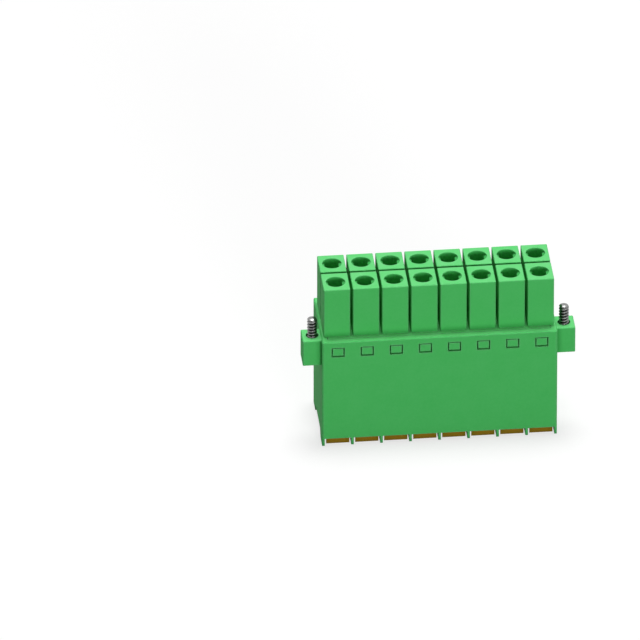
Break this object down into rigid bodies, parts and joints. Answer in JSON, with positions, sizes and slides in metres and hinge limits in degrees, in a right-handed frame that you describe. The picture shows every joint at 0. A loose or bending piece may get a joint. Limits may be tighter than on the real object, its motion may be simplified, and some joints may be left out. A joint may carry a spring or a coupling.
{
  "type": "pluggable terminal block",
  "caption": "Double-row pluggable terminal block: round wire entries with push levers below, mating towers with sockets above, and a captive flange screw in an ear at each end.",
  "frame": {"origin": "middle of the footprint, at the tips of the ribs that the plug stands on", "axes": "+X along the rows of poles, -Y the front broad side, +Z out of the mating end, towards the header"},
  "size_m": [0.0328, 0.0106, 0.0211],
  "materials": {
    "housing_green": "moulded polyamide, fine satin",
    "carrier_green": "moulded polyamide, fine satin",
    "lever_orange": "moulded polyamide, satin",
    "contact_tin": "copper alloy with tin plating",
    "spring_steel": "rolled spring strip",
    "screw_steel": "machine screw, zinc plated"
  },
  "bodies": {
    "shell": {"housing": "housing_green", "contact_carrier": "carrier_green", "contact_01": "contact_tin", "contact_02": "contact_tin", "contact_03": "contact_tin", "contact_04": "contact_tin", "contact_05": "contact_tin", "contact_06": "contact_tin", "contact_07": "contact_tin", "contact_08": "contact_tin", "contact_09": "contact_tin", "contact_10": "contact_tin", "contact_11": "contact_tin", "contact_12": "contact_tin", "contact_13": "contact_tin", "contact_14": "contact_tin", "contact_15": "contact_tin", "contact_16": "contact_tin", "spring_01": "spring_steel", "spring_02": "spring_steel", "spring_03": "spring_steel", "spring_04": "spring_steel", "spring_05": "spring_steel", "spring_06": "spring_steel", "spring_07": "spring_steel", "spring_08": "spring_steel", "spring_09": "spring_steel", "spring_10": "spring_steel", "spring_11": "spring_steel", "spring_12": "spring_steel", "spring_13": "spring_steel", "spring_14": "spring_steel", "spring_15": "spring_steel", "spring_16": "spring_steel"},
    "release_lever_01": {"lever_01": "lever_orange"},
    "release_lever_02": {"lever_02": "lever_orange"},
    "release_lever_03": {"lever_03": "lever_orange"},
    "release_lever_04": {"lever_04": "lever_orange"},
    "release_lever_05": {"lever_05": "lever_orange"},
    "release_lever_06": {"lever_06": "lever_orange"},
    "release_lever_07": {"lever_07": "lever_orange"},
    "release_lever_08": {"lever_08": "lever_orange"},
    "release_lever_09": {"lever_09": "lever_orange"},
    "release_lever_10": {"lever_10": "lever_orange"},
    "release_lever_11": {"lever_11": "lever_orange"},
    "release_lever_12": {"lever_12": "lever_orange"},
    "release_lever_13": {"lever_13": "lever_orange"},
    "release_lever_14": {"lever_14": "lever_orange"},
    "release_lever_15": {"lever_15": "lever_orange"},
    "release_lever_16": {"lever_16": "lever_orange"},
    "screw_left": {"flange_screw_left": "screw_steel"},
    "screw_right": {"flange_screw_right": "screw_steel"}
  },
  "joints": [
    {"name": "lever_01_press", "type": "slide", "parent": "shell", "child": "release_lever_01", "axis": [0, 0, 1], "range_m": [0, 0.0008], "stiffness_N_per_m": 5000, "springref_m": -0.0002, "deforming": ["spring_01"]},
    {"name": "lever_02_press", "type": "slide", "parent": "shell", "child": "release_lever_02", "axis": [0, 0, 1], "range_m": [0, 0.0008], "stiffness_N_per_m": 5000, "springref_m": -0.0002, "deforming": ["spring_02"]},
    {"name": "lever_03_press", "type": "slide", "parent": "shell", "child": "release_lever_03", "axis": [0, 0, 1], "range_m": [0, 0.0008], "stiffness_N_per_m": 5000, "springref_m": -0.0002, "deforming": ["spring_03"]},
    {"name": "lever_04_press", "type": "slide", "parent": "shell", "child": "release_lever_04", "axis": [0, 0, 1], "range_m": [0, 0.0008], "stiffness_N_per_m": 5000, "springref_m": -0.0002, "deforming": ["spring_04"]},
    {"name": "lever_05_press", "type": "slide", "parent": "shell", "child": "release_lever_05", "axis": [0, 0, 1], "range_m": [0, 0.0008], "stiffness_N_per_m": 5000, "springref_m": -0.0002, "deforming": ["spring_05"]},
    {"name": "lever_06_press", "type": "slide", "parent": "shell", "child": "release_lever_06", "axis": [0, 0, 1], "range_m": [0, 0.0008], "stiffness_N_per_m": 5000, "springref_m": -0.0002, "deforming": ["spring_06"]},
    {"name": "lever_07_press", "type": "slide", "parent": "shell", "child": "release_lever_07", "axis": [0, 0, 1], "range_m": [0, 0.0008], "stiffness_N_per_m": 5000, "springref_m": -0.0002, "deforming": ["spring_07"]},
    {"name": "lever_08_press", "type": "slide", "parent": "shell", "child": "release_lever_08", "axis": [0, 0, 1], "range_m": [0, 0.0008], "stiffness_N_per_m": 5000, "springref_m": -0.0002, "deforming": ["spring_08"]},
    {"name": "lever_09_press", "type": "slide", "parent": "shell", "child": "release_lever_09", "axis": [0, 0, 1], "range_m": [0, 0.0008], "stiffness_N_per_m": 5000, "springref_m": -0.0002, "deforming": ["spring_09"]},
    {"name": "lever_10_press", "type": "slide", "parent": "shell", "child": "release_lever_10", "axis": [0, 0, 1], "range_m": [0, 0.0008], "stiffness_N_per_m": 5000, "springref_m": -0.0002, "deforming": ["spring_10"]},
    {"name": "lever_11_press", "type": "slide", "parent": "shell", "child": "release_lever_11", "axis": [0, 0, 1], "range_m": [0, 0.0008], "stiffness_N_per_m": 5000, "springref_m": -0.0002, "deforming": ["spring_11"]},
    {"name": "lever_12_press", "type": "slide", "parent": "shell", "child": "release_lever_12", "axis": [0, 0, 1], "range_m": [0, 0.0008], "stiffness_N_per_m": 5000, "springref_m": -0.0002, "deforming": ["spring_12"]},
    {"name": "lever_13_press", "type": "slide", "parent": "shell", "child": "release_lever_13", "axis": [0, 0, 1], "range_m": [0, 0.0008], "stiffness_N_per_m": 5000, "springref_m": -0.0002, "deforming": ["spring_13"]},
    {"name": "lever_14_press", "type": "slide", "parent": "shell", "child": "release_lever_14", "axis": [0, 0, 1], "range_m": [0, 0.0008], "stiffness_N_per_m": 5000, "springref_m": -0.0002, "deforming": ["spring_14"]},
    {"name": "lever_15_press", "type": "slide", "parent": "shell", "child": "release_lever_15", "axis": [0, 0, 1], "range_m": [0, 0.0008], "stiffness_N_per_m": 5000, "springref_m": -0.0002, "deforming": ["spring_15"]},
    {"name": "lever_16_press", "type": "slide", "parent": "shell", "child": "release_lever_16", "axis": [0, 0, 1], "range_m": [0, 0.0008], "stiffness_N_per_m": 5000, "springref_m": -0.0002, "deforming": ["spring_16"]},
    {"name": "screw_left_turn", "type": "hinge", "parent": "shell", "child": "screw_left", "pos_m": [-0.01515, -0.00298, 0.01433], "axis": [0, 0, 1], "continuous": true},
    {"name": "screw_right_turn", "type": "hinge", "parent": "shell", "child": "screw_right", "pos_m": [0.01515, -0.00298, 0.01433], "axis": [0, 0, 1], "continuous": true}
  ]
}
